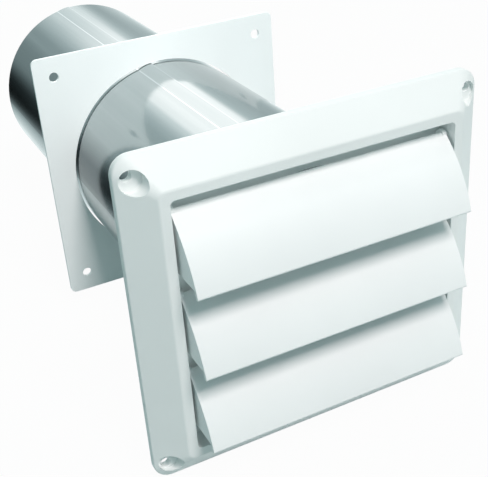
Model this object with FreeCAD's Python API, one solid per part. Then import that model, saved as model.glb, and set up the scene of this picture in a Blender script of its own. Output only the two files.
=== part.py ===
import FreeCAD, Part
import math
import os

# Louvred dryer vent cap with its duct and wall plate, in mm.
# +Z is up, the louvres face -Y, the duct runs along +Y.
# The origin lies on the duct axis in the plane of the hood's wall face.

V = FreeCAD.Vector
plane_tol = 1e-4

# Hood, outer form
hood_width = 155.0
hood_height = 144.0
hood_depth = 12.5
flange_thick = 3.0
flange_corner_r = 7.5
rim_width = 4.0
rim_corner_r = 3.0
bevel_run = 12.5
opening_corner_r = 2.0
hood_wall = 2.2
back_plate_thick = 3.0
rim_soften_r = 1.6
flange_soften_r = 0.9
hollow_tip = 0.6
bar_lap = 3.0

# Hood, screw pockets
pocket_inset_w = 6.3
pocket_inset_h = 9.0
pocket_r = 4.7
pocket_wall = 1.8
screw_inset_w = 5.0
screw_inset_h = 7.4
screw_hole_r = 2.2

# Collar that carries the duct
duct_outer_r = 50.8
duct_wall = 0.45
collar_gap = 0.10
collar_wall = 2.0
collar_length = 22.0
collar_lead = 0.8

# Louvres
louvre_count = 3
louvre_pitch = 35.0
louvre_side_gap = 1.2
blade_thick = 1.6
blade_rise = 1.4
blade_drop = 25.8
blade_reach = 19.8
blade_sag = 2.4
top_gap = 7.2
hinge_setback = 6.2
pivot_r = 1.5
pivot_gap = 0.08
pivot_reach = 1.8
knuckle_r = 2.5
cheek_thick = 1.6
cheek_rear = 1.6
cheek_drop = 23.5
cheek_corner_r = 4.0

# Stops behind the louvre cheeks
stop_gap = 0.3
stop_size = 3.0
stop_height = 6.0

# Duct
duct_length = 279.4
seam_angle_deg = 99.3
seam_width = 7.5
seam_rise = 0.45

# Wall plate
plate_size = 129.0
plate_thick = 1.5
plate_corner_r = 3.0
plate_hole_gap = 0.8
plate_screw_inset = 10.0
plate_screw_r = 2.4
plate_place = 144.3

# Derived sizes
half_w = hood_width / 2.0
half_h = hood_height / 2.0
rim_half_w = half_w - bevel_run
rim_half_h = half_h - bevel_run
open_half_w = rim_half_w - rim_width
open_half_h = rim_half_h - rim_width
duct_inner_r = duct_outer_r - duct_wall
collar_outer_r = duct_inner_r - collar_gap
collar_inner_r = collar_outer_r - collar_wall
louvre_half = open_half_w - louvre_side_gap
pivot_half = open_half_w + pivot_reach
hinge_y = -hinge_setback
top_hinge_z = open_half_h - top_gap


def rounded_wire(hw, hh, r, y):
    corners = [(hw, hh, 0.0), (-hw, hh, 90.0), (-hw, -hh, 180.0), (hw, -hh, 270.0)]
    edges = []
    points = []
    for cx, cz, start in corners:
        ox = cx - math.copysign(r, cx)
        oz = cz - math.copysign(r, cz)
        trio = []
        for part_turn in (0.0, 45.0, 90.0):
            a = math.radians(start + part_turn)
            trio.append(V(ox + r * math.cos(a), y, oz + r * math.sin(a)))
        points.append(trio)
    for i, trio in enumerate(points):
        edges.append(Part.Arc(trio[0], trio[1], trio[2]).toShape())
        following = points[(i + 1) % len(points)]
        edges.append(Part.makeLine(trio[2], following[0]))
    return Part.Wire(edges)


def rounded_block(hw, hh, r, y0, y1):
    face = Part.Face(rounded_wire(hw, hh, r, y0))
    return face.extrude(V(0, y1 - y0, 0))


def frustum(hw0, hh0, r0, y0, hw1, hh1, r1, y1):
    wires = [rounded_wire(hw0, hh0, r0, y0), rounded_wire(hw1, hh1, r1, y1)]
    return Part.makeLoft(wires, True, True)


def round_along_y(x, z, r, y0, y1):
    return Part.makeCylinder(r, y1 - y0, V(x, y0, z), V(0, 1, 0))


def edges_at(shape, y):
    found = []
    for edge in shape.Edges:
        box = edge.BoundBox
        if abs(box.YMin - y) < plane_tol and abs(box.YMax - y) < plane_tol:
            found.append(edge)
    return found


def corner_points(inset_w, inset_h):
    return [(sx * inset_w, sz * inset_h) for sx in (-1, 1) for sz in (-1, 1)]


def make_hood():
    flange = rounded_block(half_w, half_h, flange_corner_r, -flange_thick, 0)
    crown = frustum(
        half_w, half_h, flange_corner_r, -flange_thick,
        rim_half_w, rim_half_h, rim_corner_r, -hood_depth,
    )
    body = flange.fuse(crown).removeSplitter()

    # Soft edges round the rim and round the flange
    body = body.makeFillet(rim_soften_r, edges_at(body, -hood_depth))
    body = body.makeFillet(flange_soften_r, edges_at(body, -flange_thick))

    # Louvre opening with the back plate left as its floor
    mouth = rounded_block(
        open_half_w, open_half_h, opening_corner_r, -hood_depth - 1.0, -back_plate_thick
    )
    body = body.cut(mouth)

    # Hollow ring behind the bevelled face
    slope = math.hypot(bevel_run, hood_depth - flange_thick)
    skin_inset = hood_wall * slope / (hood_depth - flange_thick)
    run_per_depth = bevel_run / (hood_depth - flange_thick)
    inner_w = open_half_w + hood_wall
    inner_h = open_half_h + hood_wall
    base_w = half_w - skin_inset
    base_h = half_h - skin_inset
    depth = (base_w - inner_w - hollow_tip) / run_per_depth
    tip_r = opening_corner_r + hood_wall
    hollow = rounded_block(base_w, base_h, tip_r, -flange_thick, 1.0)
    hollow = hollow.fuse(frustum(
        base_w, base_h, tip_r, -flange_thick,
        base_w - depth * run_per_depth, base_h - depth * run_per_depth, tip_r,
        -flange_thick - depth,
    ))
    hollow = hollow.cut(rounded_block(inner_w, inner_h, tip_r, -hood_depth, 2.0))
    for x, z in corner_points(half_w - pocket_inset_w, half_h - pocket_inset_h):
        boss = round_along_y(x, z, pocket_r + pocket_wall, -hood_depth, 2.0)
        hollow = hollow.cut(boss)
    body = body.cut(hollow)

    # Screw pockets, and screw holes set towards the outer corners
    for x, z in corner_points(half_w - pocket_inset_w, half_h - pocket_inset_h):
        body = body.cut(round_along_y(x, z, pocket_r, -hood_depth - 1.0, -flange_thick))
    for x, z in corner_points(half_w - screw_inset_w, half_h - screw_inset_h):
        body = body.cut(round_along_y(x, z, screw_hole_r, -hood_depth, 1.0))

    # Collar with a lead-in, and the passage through it
    collar = round_along_y(0, 0, collar_outer_r, -back_plate_thick, collar_length)
    collar = collar.makeChamfer(collar_lead, edges_at(collar, collar_length))
    body = body.fuse(collar)
    body = body.cut(round_along_y(0, 0, collar_inner_r, -hood_depth, collar_length + 1.0))

    # Cross bars that back the gap between one louvre's lip and the next louvre
    for i in range(louvre_count - 1):
        z1 = top_hinge_z - i * louvre_pitch - blade_drop + bar_lap
        z0 = top_hinge_z - (i + 1) * louvre_pitch - bar_lap / 2.0
        bar = Part.makeBox(
            2.0 * collar_outer_r, back_plate_thick, z1 - z0,
            V(-collar_outer_r, -back_plate_thick, z0),
        )
        body = body.fuse(bar)

    # Pivot bores and cheek stops
    for i in range(louvre_count):
        z = top_hinge_z - i * louvre_pitch
        for side in (-1, 1):
            start = V(side * louvre_half, hinge_y, z)
            bore_length = louvre_side_gap + hood_wall + hollow_tip
            bore = Part.makeCylinder(pivot_r + pivot_gap, bore_length, start, V(side, 0, 0))
            body = body.cut(bore)
            stop_front = hinge_y + cheek_rear + stop_gap
            stop_z = z - cheek_drop + cheek_corner_r
            x0 = min(side * open_half_w, side * (open_half_w - stop_size))
            stop = Part.makeBox(
                stop_size, -back_plate_thick / 2.0 - stop_front, stop_height,
                V(x0, stop_front, stop_z),
            )
            body = body.fuse(stop)
    return body.removeSplitter()


def blade_arc(top, tip, sag):
    # Centre and radius of the arc through top and tip that bulges to -Y
    chord_y = tip[0] - top[0]
    chord_z = tip[1] - top[1]
    chord = math.hypot(chord_y, chord_z)
    radius = (chord * chord / 4.0 + sag * sag) / (2.0 * sag)
    out_y = chord_z / chord
    out_z = -chord_y / chord
    centre = (
        (top[0] + tip[0]) / 2.0 - out_y * (radius - sag),
        (top[1] + tip[1]) / 2.0 - out_z * (radius - sag),
    )
    return centre, radius


def make_louvre(hinge_z):
    top = (hinge_y - blade_rise, hinge_z + blade_rise)
    tip = (hinge_y - blade_reach, hinge_z - blade_drop)
    centre, outer_r = blade_arc(top, tip, blade_sag)
    inner_r = outer_r - blade_thick
    middle_r = outer_r - blade_thick / 2.0
    a_top = math.atan2(top[1] - centre[1], top[0] - centre[0])
    a_tip = math.atan2(tip[1] - centre[1], tip[0] - centre[0]) % (2.0 * math.pi)
    a_mid = (a_top + a_tip) / 2.0

    def at(radius, angle, x):
        return V(x, centre[0] + radius * math.cos(angle), centre[1] + radius * math.sin(angle))

    # Curved blade with rounded upper and lower edges
    x0 = -louvre_half
    nose = blade_thick / 2.0 / middle_r
    outline = Part.Wire([
        Part.Arc(at(outer_r, a_top, x0), at(outer_r, a_mid, x0), at(outer_r, a_tip, x0)).toShape(),
        Part.Arc(at(outer_r, a_tip, x0), at(middle_r, a_tip + nose, x0), at(inner_r, a_tip, x0)).toShape(),
        Part.Arc(at(inner_r, a_tip, x0), at(inner_r, a_mid, x0), at(inner_r, a_top, x0)).toShape(),
        Part.Arc(at(inner_r, a_top, x0), at(middle_r, a_top - nose, x0), at(outer_r, a_top, x0)).toShape(),
    ])
    louvre = Part.Face(outline).extrude(V(2.0 * louvre_half, 0, 0))

    # End cheeks, pivot knuckles and pivot pins
    foot_z = hinge_z - cheek_drop
    rear_y = hinge_y + cheek_rear
    a_foot = math.pi - math.asin((foot_z - centre[1]) / middle_r)
    foot = at(middle_r, a_foot, 0)
    a_half = (a_top + a_foot) / 2.0
    for side in (-1, 1):
        x = side * louvre_half
        inward = V(-side * cheek_thick, 0, 0)
        brow = at(middle_r, a_top, x)
        before = V(x, rear_y, foot_z + cheek_corner_r)
        after = V(x, rear_y - cheek_corner_r, foot_z)
        lean = cheek_corner_r * (1.0 - math.sqrt(0.5))
        bend = V(x, rear_y - lean, foot_z + lean)
        front = V(x, foot.y, foot.z)
        cheek = Part.Face(Part.Wire([
            Part.makeLine(brow, V(x, rear_y, hinge_z)),
            Part.makeLine(V(x, rear_y, hinge_z), before),
            Part.Arc(before, bend, after).toShape(),
            Part.makeLine(after, front),
            Part.Arc(front, at(middle_r, a_half, x), brow).toShape(),
        ])).extrude(inward)
        knuckle = Part.makeCylinder(knuckle_r, cheek_thick, V(x, hinge_y, hinge_z), V(-side, 0, 0))
        pin = Part.makeCylinder(
            pivot_r, pivot_half - louvre_half + cheek_thick,
            V(side * (louvre_half - cheek_thick), hinge_y, hinge_z), V(side, 0, 0),
        )
        louvre = louvre.fuse([cheek, knuckle, pin])
    return louvre.removeSplitter()


def make_duct():
    tube = round_along_y(0, 0, duct_outer_r, 0, duct_length)
    # Folded lengthwise seam, soft on one side and stepped on the other
    half_turn = math.degrees(seam_width / 2.0 / duct_outer_r)
    soft = math.radians(seam_angle_deg + half_turn)
    crown = math.radians(seam_angle_deg)
    step = math.radians(seam_angle_deg - half_turn)
    root = duct_outer_r - duct_wall / 2.0

    def on(radius, angle):
        return V(radius * math.cos(angle), 0, radius * math.sin(angle))

    seam = Part.Face(Part.Wire([
        Part.Arc(
            on(duct_outer_r, soft),
            on(duct_outer_r + 0.8 * seam_rise, crown),
            on(duct_outer_r + seam_rise, step),
        ).toShape(),
        Part.makeLine(on(duct_outer_r + seam_rise, step), on(root, step)),
        Part.Arc(on(root, step), on(root, crown), on(root, soft)).toShape(),
        Part.makeLine(on(root, soft), on(duct_outer_r, soft)),
    ])).extrude(V(0, duct_length, 0))
    shell = tube.fuse(seam)
    return shell.cut(round_along_y(0, 0, duct_inner_r, -1.0, duct_length + 1.0)).removeSplitter()


def make_wall_plate():
    half = plate_size / 2.0
    y0 = plate_place
    plate = rounded_block(half, half, plate_corner_r, y0, y0 + plate_thick)
    plate = plate.cut(round_along_y(0, 0, duct_outer_r + plate_hole_gap, y0 - 1.0, y0 + plate_thick + 1.0))
    for x, z in corner_points(half - plate_screw_inset, half - plate_screw_inset):
        plate = plate.cut(round_along_y(x, z, plate_screw_r, y0 - 1.0, y0 + plate_thick + 1.0))
    return plate


os.makedirs("parts", exist_ok=True)
nodes = {
    "hood": make_hood(),
    "tail_pipe": make_duct(),
    "wall_plate": make_wall_plate(),
}
for place, name in enumerate(("louvre_upper", "louvre_middle", "louvre_lower")):
    nodes[name] = make_louvre(top_hinge_z - place * louvre_pitch)
for name, shape in nodes.items():
    shape.exportStep("parts/" + name + ".step")
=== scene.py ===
import math

import bpy
from mathutils import Matrix, Vector


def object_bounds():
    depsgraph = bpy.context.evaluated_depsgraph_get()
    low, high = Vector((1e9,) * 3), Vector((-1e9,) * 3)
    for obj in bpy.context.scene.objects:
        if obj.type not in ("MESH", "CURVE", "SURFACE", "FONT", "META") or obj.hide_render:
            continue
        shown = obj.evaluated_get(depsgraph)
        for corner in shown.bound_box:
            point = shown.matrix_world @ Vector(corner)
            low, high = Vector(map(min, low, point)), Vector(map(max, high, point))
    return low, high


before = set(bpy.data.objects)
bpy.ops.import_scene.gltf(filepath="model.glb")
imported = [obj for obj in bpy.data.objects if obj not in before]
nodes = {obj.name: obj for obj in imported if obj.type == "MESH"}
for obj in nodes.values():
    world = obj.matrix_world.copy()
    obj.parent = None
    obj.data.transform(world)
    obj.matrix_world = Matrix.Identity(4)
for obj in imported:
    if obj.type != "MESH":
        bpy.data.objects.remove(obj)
cad_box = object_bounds()
scene = bpy.context.scene
scene.view_settings.view_transform = "Standard"

# Camera fitted to the photograph, in mm and degrees, about the row's origin
CAM_AZIMUTH = -25.097
CAM_ELEVATION = 29.045
CAM_ROLL = -4.303
CAM_DISTANCE = 378.699
CAM_RIGHT = -25.509
CAM_UP = 16.1
FOCAL_PX = 931.3
FRAME_PX = 488.0


def direction(azimuth, elevation):
    a = math.radians(azimuth)
    e = math.radians(elevation)
    return Vector((math.sin(a) * math.cos(e), -math.cos(a) * math.cos(e), math.sin(e)))


def make_camera():
    back = direction(CAM_AZIMUTH, CAM_ELEVATION)
    right = (-back).cross(Vector((0, 0, 1))).normalized()
    up = right.cross(-back).normalized()
    place = (back * CAM_DISTANCE + right * CAM_RIGHT + up * CAM_UP) / 1000.0
    r = math.radians(CAM_ROLL)
    right_rolled = right * math.cos(r) + up * math.sin(r)
    up_rolled = up * math.cos(r) - right * math.sin(r)
    data = bpy.data.cameras.new("camera")
    data.sensor_width = 36.0
    data.lens = FOCAL_PX / FRAME_PX * data.sensor_width
    data.clip_start = 0.02
    data.clip_end = 30.0
    cam = bpy.data.objects.new("camera", data)
    turn = Matrix((right_rolled, up_rolled, back)).transposed()
    cam.matrix_world = Matrix.Translation(place) @ turn.to_4x4()
    scene.collection.objects.link(cam)
    scene.camera = cam


# Folded edges of the duct's seam: degrees round its axis and half width in radians
SEAM_EDGES = ((103.6, 0.008), (95.0, 0.007))

# Way that both folded crowns face, in degrees round the axis
SEAM_CROWN = 98.0

# Painted dark reflection: lengthwise bands of darker base colour round the duct where the mirrored
# studio is dark; place, full and faded half widths in degrees, then depth
PAINTED_DARK_REFLECTION_BANDS = ((169.0, 6.0, 22.0, 1.0), (60.0, 18.0, 30.0, 0.38))

# Colours and finish of the duct's sheet, with a painted dark reflection colour and a painted highlight
# colour for the seam's folds
METAL_DEEP = (0.41, 0.465, 0.47)
METAL_PALE = (0.535, 0.58, 0.585)
# Painted dark reflection colour for the bands round the duct
METAL_PAINTED_DARK_REFLECTION = (0.15, 0.18, 0.19)
# Paler colour painted on the seam's folds as a highlight
METAL_FOLD_PAINTED_HIGHLIGHT = (0.67, 0.71, 0.72)
METAL_ROUGH = (0.10, 0.17)
STREAK_HEIGHT = 0.00003
STREAK_RELIEF = 0.25

# Noise in the sheet: scale, detail and roughness, drawn out along the duct
STREAK_NOISE = (900.0, 5.0, 0.65)
BAND_NOISE = (120.0, 3.0, 0.6)
SMUDGE_NOISE = (30.0, 4.0, 0.6)
STREAK_DRAWN = (1.0, 0.012, 1.0)
SMUDGE_DRAWN = (1.0, 0.12, 1.0)
STREAK_SHARE = 0.45
BAND_SHARE = 0.55

# Finish of the moulded white pieces, heights in metres
PLASTIC_SPECULAR = 0.25
CLOUD_SCALE = 22.0
GRAIN_HEIGHT = 0.00006
GRAIN_RELIEF = 0.35
PALE_SHARE = 1.012
DEEP_SHARE = 0.975
ROUGH_BELOW = 0.05
ROUGH_ABOVE = 0.06

# Floor and studio
FLOOR_SIDE = 12.0
FLOOR_GAP = 0.0005
FLOOR_GLOW = 0.97
FLOOR_DEEP = (0.42, 0.49, 0.49)
FLOOR_PALE = (0.46, 0.52, 0.52)
FLOOR_SPECK = 60.0
GROUND_WHITE = 0.98
FILL_BELOW = (0.13, 0.25, 0.25)
FILL_ABOVE = (0.29, 0.42, 0.42)
STUDIO_STRENGTH = 1.95

# Share of a mirrored ray along the duct where the near bands end and the far ones begin
NEAR_DEPTH = 0.895
FAR_DEPTH = 0.93

# Sockets of a mix node: both inputs and the output, for colours and for vectors
COLOUR_A, COLOUR_B, COLOUR_OUT = 6, 7, 2
VECTOR_A, VECTOR_B, VECTOR_OUT = 4, 5, 1

# Same scale on all axes
EVEN = (1.0, 1.0, 1.0)


# Node material helpers

def new_material(name):
    mat = bpy.data.materials.new(name)
    mat.use_nodes = True
    tree = mat.node_tree
    shader = next(n for n in tree.nodes if n.type == "BSDF_PRINCIPLED")
    return mat, tree, shader


def coords(tree, scale):
    source = tree.nodes.new("ShaderNodeTexCoord")
    mapping = tree.nodes.new("ShaderNodeMapping")
    mapping.inputs["Scale"].default_value = scale
    tree.links.new(source.outputs["Object"], mapping.inputs["Vector"])
    return mapping.outputs["Vector"]


def noise(tree, vector, scale, detail=3.0, roughness=0.5):
    node = tree.nodes.new("ShaderNodeTexNoise")
    node.inputs["Scale"].default_value = scale
    node.inputs["Detail"].default_value = detail
    node.inputs["Roughness"].default_value = roughness
    tree.links.new(vector, node.inputs["Vector"])
    return node.outputs["Fac"]


def spread(tree, value, low, high, from_low=0.3, from_high=0.7):
    node = tree.nodes.new("ShaderNodeMapRange")
    node.inputs["From Min"].default_value = from_low
    node.inputs["From Max"].default_value = from_high
    node.inputs["To Min"].default_value = low
    node.inputs["To Max"].default_value = high
    tree.links.new(value, node.inputs["Value"])
    return node.outputs["Result"]


def two_tone(tree, value, first, second):
    node = tree.nodes.new("ShaderNodeMix")
    node.data_type = "RGBA"
    if isinstance(first, tuple):
        node.inputs[COLOUR_A].default_value = (*first, 1.0)
    else:
        tree.links.new(first, node.inputs[COLOUR_A])
    node.inputs[COLOUR_B].default_value = (*second, 1.0)
    tree.links.new(value, node.inputs["Factor"])
    return node.outputs[COLOUR_OUT]


def math_node(tree, operation, first, second=None):
    node = tree.nodes.new("ShaderNodeMath")
    node.operation = operation
    for slot, value in enumerate((first, second)):
        if isinstance(value, float):
            node.inputs[slot].default_value = value
        elif value is not None:
            tree.links.new(value, node.inputs[slot])
    return node.outputs[0]


def bump(tree, shader, height, distance, strength):
    node = tree.nodes.new("ShaderNodeBump")
    node.inputs["Distance"].default_value = distance
    node.inputs["Strength"].default_value = strength
    tree.links.new(height, node.inputs["Height"])
    tree.links.new(node.outputs["Normal"], shader.inputs["Normal"])
    return node.outputs["Normal"]


def white_plastic(name, tone, rough, grain):
    mat, tree, shader = new_material(name)
    even = coords(tree, EVEN)
    cloud = noise(tree, even, CLOUD_SCALE, 2.0)
    speck = noise(tree, even, grain, 4.0, 0.6)
    shader.inputs["Specular IOR Level"].default_value = PLASTIC_SPECULAR
    pale = tuple(min(1.0, c * PALE_SHARE) for c in tone)
    deep = tuple(c * DEEP_SHARE for c in tone)
    colour = two_tone(tree, spread(tree, cloud, 0.0, 1.0), deep, pale)
    tree.links.new(colour, shader.inputs["Base Color"])
    dullness = spread(tree, speck, rough - ROUGH_BELOW, rough + ROUGH_ABOVE)
    tree.links.new(dullness, shader.inputs["Roughness"])
    bump(tree, shader, speck, GRAIN_HEIGHT, GRAIN_RELIEF)
    return mat


def rolled_aluminium(name):
    mat, tree, shader = new_material(name)
    shader.inputs["Metallic"].default_value = 1.0
    along = coords(tree, STREAK_DRAWN)
    loose = coords(tree, SMUDGE_DRAWN)
    streak = noise(tree, along, *STREAK_NOISE)
    band = noise(tree, along, *BAND_NOISE)
    smudge = noise(tree, loose, *SMUDGE_NOISE)
    fine = math_node(tree, "MULTIPLY", streak, STREAK_SHARE)
    grain = math_node(tree, "ADD", fine, spread(tree, band, 0.0, BAND_SHARE))
    colour = two_tone(tree, grain, METAL_DEEP, METAL_PALE)

    # Place round the duct's axis, for the bands of painted dark reflection and the seam's painted
    # highlight
    source = tree.nodes.new("ShaderNodeTexCoord")
    split = tree.nodes.new("ShaderNodeSeparateXYZ")
    tree.links.new(source.outputs["Object"], split.inputs[0])
    angle = math_node(tree, "ARCTAN2", split.outputs["Z"], split.outputs["X"])
    # Painted dark reflection: the base colour is darkened in bands round the duct
    for place, full, faded, depth in PAINTED_DARK_REFLECTION_BANDS:
        away = math_node(tree, "ABSOLUTE", math_node(tree, "SUBTRACT", angle, math.radians(place)))
        painted_dark = spread(tree, away, depth, 0.0, math.radians(full), math.radians(faded))
        colour = two_tone(tree, painted_dark, colour, METAL_PAINTED_DARK_REFLECTION)

    # Two folded edges of the seam, painted paler as a highlight, with their normals bent so the rounded
    # crowns catch the light
    fold_highlight = None
    for ridge, half_width in SEAM_EDGES:
        away = math_node(tree, "ABSOLUTE", math_node(tree, "SUBTRACT", angle, math.radians(ridge)))
        here = spread(tree, away, 1.0, 0.0, half_width * 0.5, half_width)
        fold_highlight = here if fold_highlight is None else math_node(tree, "MAXIMUM", fold_highlight, here)
    colour = two_tone(tree, fold_highlight, colour, METAL_FOLD_PAINTED_HIGHLIGHT)
    tree.links.new(colour, shader.inputs["Base Color"])
    tree.links.new(spread(tree, smudge, *METAL_ROUGH), shader.inputs["Roughness"])
    relief = bump(tree, shader, streak, STREAK_HEIGHT, STREAK_RELIEF)
    crown = math.radians(SEAM_CROWN)
    bent = tree.nodes.new("ShaderNodeMix")
    bent.data_type = "VECTOR"
    tree.links.new(fold_highlight, bent.inputs["Factor"])
    tree.links.new(relief, bent.inputs[VECTOR_A])
    bent.inputs[VECTOR_B].default_value = (math.cos(crown), 0.0, math.sin(crown))
    tree.links.new(bent.outputs[VECTOR_OUT], shader.inputs["Normal"])
    return mat


def dress():
    hood = white_plastic("hood_white", tone=(0.91, 0.935, 0.93), rough=0.36, grain=1500.0)
    flap = white_plastic("louvre_white", tone=(0.945, 0.96, 0.96), rough=0.33, grain=1900.0)
    plate = white_plastic("plate_white", tone=(0.92, 0.96, 0.96), rough=0.45, grain=2600.0)
    duct = rolled_aluminium("duct_aluminium")
    chosen = {
        "hood": hood, "tail_pipe": duct, "wall_plate": plate,
        "louvre_upper": flap, "louvre_middle": flap, "louvre_lower": flap,
    }
    for name, mat in chosen.items():
        for entry in nodes[name].material_slots:
            entry.material = mat


# Stage, light and backdrop

def flat_panel(name, centre, facing, width, height):
    mesh = bpy.data.meshes.new(name)
    w, h = width / 2.0, height / 2.0
    mesh.from_pydata([(-w, -h, 0), (w, -h, 0), (w, h, 0), (-w, h, 0)], [], [(0, 1, 2, 3)])
    panel = bpy.data.objects.new(name, mesh)
    panel.rotation_mode = "QUATERNION"
    panel.rotation_quaternion = Vector(facing).to_track_quat("Z", "Y")
    panel.location = centre
    scene.collection.objects.link(panel)
    return panel


def make_floor(level):
    floor = flat_panel("floor", (0, 0, level), (0, 0, 1), FLOOR_SIDE, FLOOR_SIDE)
    mat = bpy.data.materials.new("floor_pale")
    mat.use_nodes = True
    tree = mat.node_tree
    tree.nodes.clear()
    diffuse = tree.nodes.new("ShaderNodeBsdfDiffuse")
    speck = noise(tree, coords(tree, EVEN), FLOOR_SPECK)
    tree.links.new(two_tone(tree, speck, FLOOR_DEEP, FLOOR_PALE), diffuse.inputs["Color"])
    glow = tree.nodes.new("ShaderNodeEmission")
    glow.inputs["Color"].default_value = (1.0, 1.0, 1.0, 1.0)
    path = tree.nodes.new("ShaderNodeLightPath")
    share = math_node(tree, "MULTIPLY", path.outputs["Is Camera Ray"], FLOOR_GLOW)
    mix = tree.nodes.new("ShaderNodeMixShader")
    out = tree.nodes.new("ShaderNodeOutputMaterial")
    tree.links.new(share, mix.inputs["Fac"])
    tree.links.new(diffuse.outputs[0], mix.inputs[1])
    tree.links.new(glow.outputs[0], mix.inputs[2])
    tree.links.new(mix.outputs[0], out.inputs["Surface"])
    floor.data.materials.append(mat)
    floor.visible_glossy = False


# Studio mirrored in the metal: degrees round the duct's axis, then brightness
NEAR_BANDS = (
    (0, 0.36), (15, 0.39), (32, 0.43), (40, 0.46), (45, 0.88), (93, 0.88), (99, 0.66), (111, 0.40),
    (120, 0.36), (142, 0.30), (162, 0.26), (176, 0.26), (187, 0.17), (198, 0.08),
    (219, 0.025), (230, 0.12), (245, 0.35), (300, 0.55), (329, 0.62), (345, 0.42),
)
FAR_BANDS = (
    (0, 0.42), (15, 0.32), (25, 0.34), (42, 0.56), (54, 0.66), (64, 0.54), (75, 0.56),
    (90, 0.46), (109, 0.31), (120, 0.24), (131, 0.26), (142, 0.19), (178, 0.15),
    (190, 0.07), (198, 0.02), (219, 0.0), (230, 0.015), (241, 0.17), (254, 0.36),
    (275, 0.58), (320, 0.70), (340, 0.50),
)


def band_colour(level):
    # Dim parts of the studio are a little cooler than the bright ones
    warm = min(level, 1.0)
    return (level * (0.70 + 0.35 * warm), level * (0.96 + 0.04 * warm), level * 0.985, 1.0)


def band_ramp(tree, turn, bands):
    ramp = tree.nodes.new("ShaderNodeValToRGB")
    elements = ramp.color_ramp.elements
    elements[0].color = band_colour(bands[0][1])
    elements[1].color = band_colour(bands[0][1])
    for degrees, level in bands[1:]:
        elements.new(degrees / 360.0).color = band_colour(level)
    tree.links.new(turn, ramp.inputs["Fac"])
    return ramp.outputs["Color"]


def make_world():
    world = bpy.data.worlds.new("studio")
    scene.world = world
    world.use_nodes = True
    tree = world.node_tree
    tree.nodes.clear()
    path = tree.nodes.new("ShaderNodeLightPath")
    source = tree.nodes.new("ShaderNodeTexCoord")
    split = tree.nodes.new("ShaderNodeSeparateXYZ")
    tree.links.new(source.outputs["Generated"], split.inputs[0])
    angle = math_node(tree, "ARCTAN2", split.outputs["Z"], split.outputs["X"])
    whole = math_node(tree, "DIVIDE", angle, 2.0 * math.pi)
    turn = math_node(tree, "FRACT", math_node(tree, "ADD", whole, 1.0))
    depth = spread(tree, split.outputs["Y"], 0.0, 1.0, NEAR_DEPTH, FAR_DEPTH)
    mirrored = tree.nodes.new("ShaderNodeMix")
    mirrored.data_type = "RGBA"
    tree.links.new(depth, mirrored.inputs["Factor"])
    tree.links.new(band_ramp(tree, turn, NEAR_BANDS), mirrored.inputs[COLOUR_A])
    tree.links.new(band_ramp(tree, turn, FAR_BANDS), mirrored.inputs[COLOUR_B])
    height = spread(tree, split.outputs["Z"], 0.0, 1.0, 0.0, 1.0)
    fill = tree.nodes.new("ShaderNodeBackground")
    tree.links.new(two_tone(tree, height, FILL_BELOW, FILL_ABOVE), fill.inputs["Color"])
    studio = tree.nodes.new("ShaderNodeBackground")
    tree.links.new(mirrored.outputs[COLOUR_OUT], studio.inputs["Color"])
    studio.inputs["Strength"].default_value = STUDIO_STRENGTH
    white = tree.nodes.new("ShaderNodeBackground")
    white.inputs["Color"].default_value = (GROUND_WHITE, GROUND_WHITE, GROUND_WHITE, 1.0)
    seen = math_node(tree, "MAXIMUM", path.outputs["Is Camera Ray"], path.outputs["Is Transmission Ray"])
    lit = tree.nodes.new("ShaderNodeMixShader")
    shown = tree.nodes.new("ShaderNodeMixShader")
    out = tree.nodes.new("ShaderNodeOutputWorld")
    tree.links.new(path.outputs["Is Glossy Ray"], lit.inputs["Fac"])
    tree.links.new(fill.outputs[0], lit.inputs[1])
    tree.links.new(studio.outputs[0], lit.inputs[2])
    tree.links.new(seen, shown.inputs["Fac"])
    tree.links.new(lit.outputs[0], shown.inputs[1])
    tree.links.new(white.outputs[0], shown.inputs[2])
    tree.links.new(shown.outputs[0], out.inputs["Surface"])


def area_lamp(name, place, shine, size, power, colour):
    data = bpy.data.lights.new(name, "AREA")
    data.shape = "SQUARE"
    data.size = size
    data.energy = power
    data.color = colour
    lamp = bpy.data.objects.new(name, data)
    lamp.location = place
    lamp.rotation_mode = "QUATERNION"
    lamp.rotation_quaternion = (-Vector(shine)).to_track_quat("Z", "Y")
    scene.collection.objects.link(lamp)
    return lamp


# Lamps: place, way of the light, side, power and colour, in metres and watts
KEY_LAMP = ((0.12, -1.74, 2.40), (-0.04, 0.595, -0.80), 0.86, 61.5, (1.0, 0.90, 0.895))
PLATE_LAMP = ((-0.02, 0.02, 0.30), (0.0, 0.98, -0.2), 0.12, 0.49, (1.0, 0.97, 0.97))
BACK_LAMP = ((0.9, 2.6, 1.5), (-0.33, -0.87, -0.5), 1.0, 24.0, (1.0, 0.97, 0.97))


def light_scene():
    make_world()
    area_lamp("key_lamp", *KEY_LAMP)

    # A small lamp behind the hood's top edge and a weak one for the room side
    for lamp in (area_lamp("plate_lamp", *PLATE_LAMP), area_lamp("back_lamp", *BACK_LAMP)):
        lamp.visible_camera = False
        lamp.visible_glossy = False


make_camera()
dress()
make_floor(cad_box[0].z - FLOOR_GAP)
light_scene()
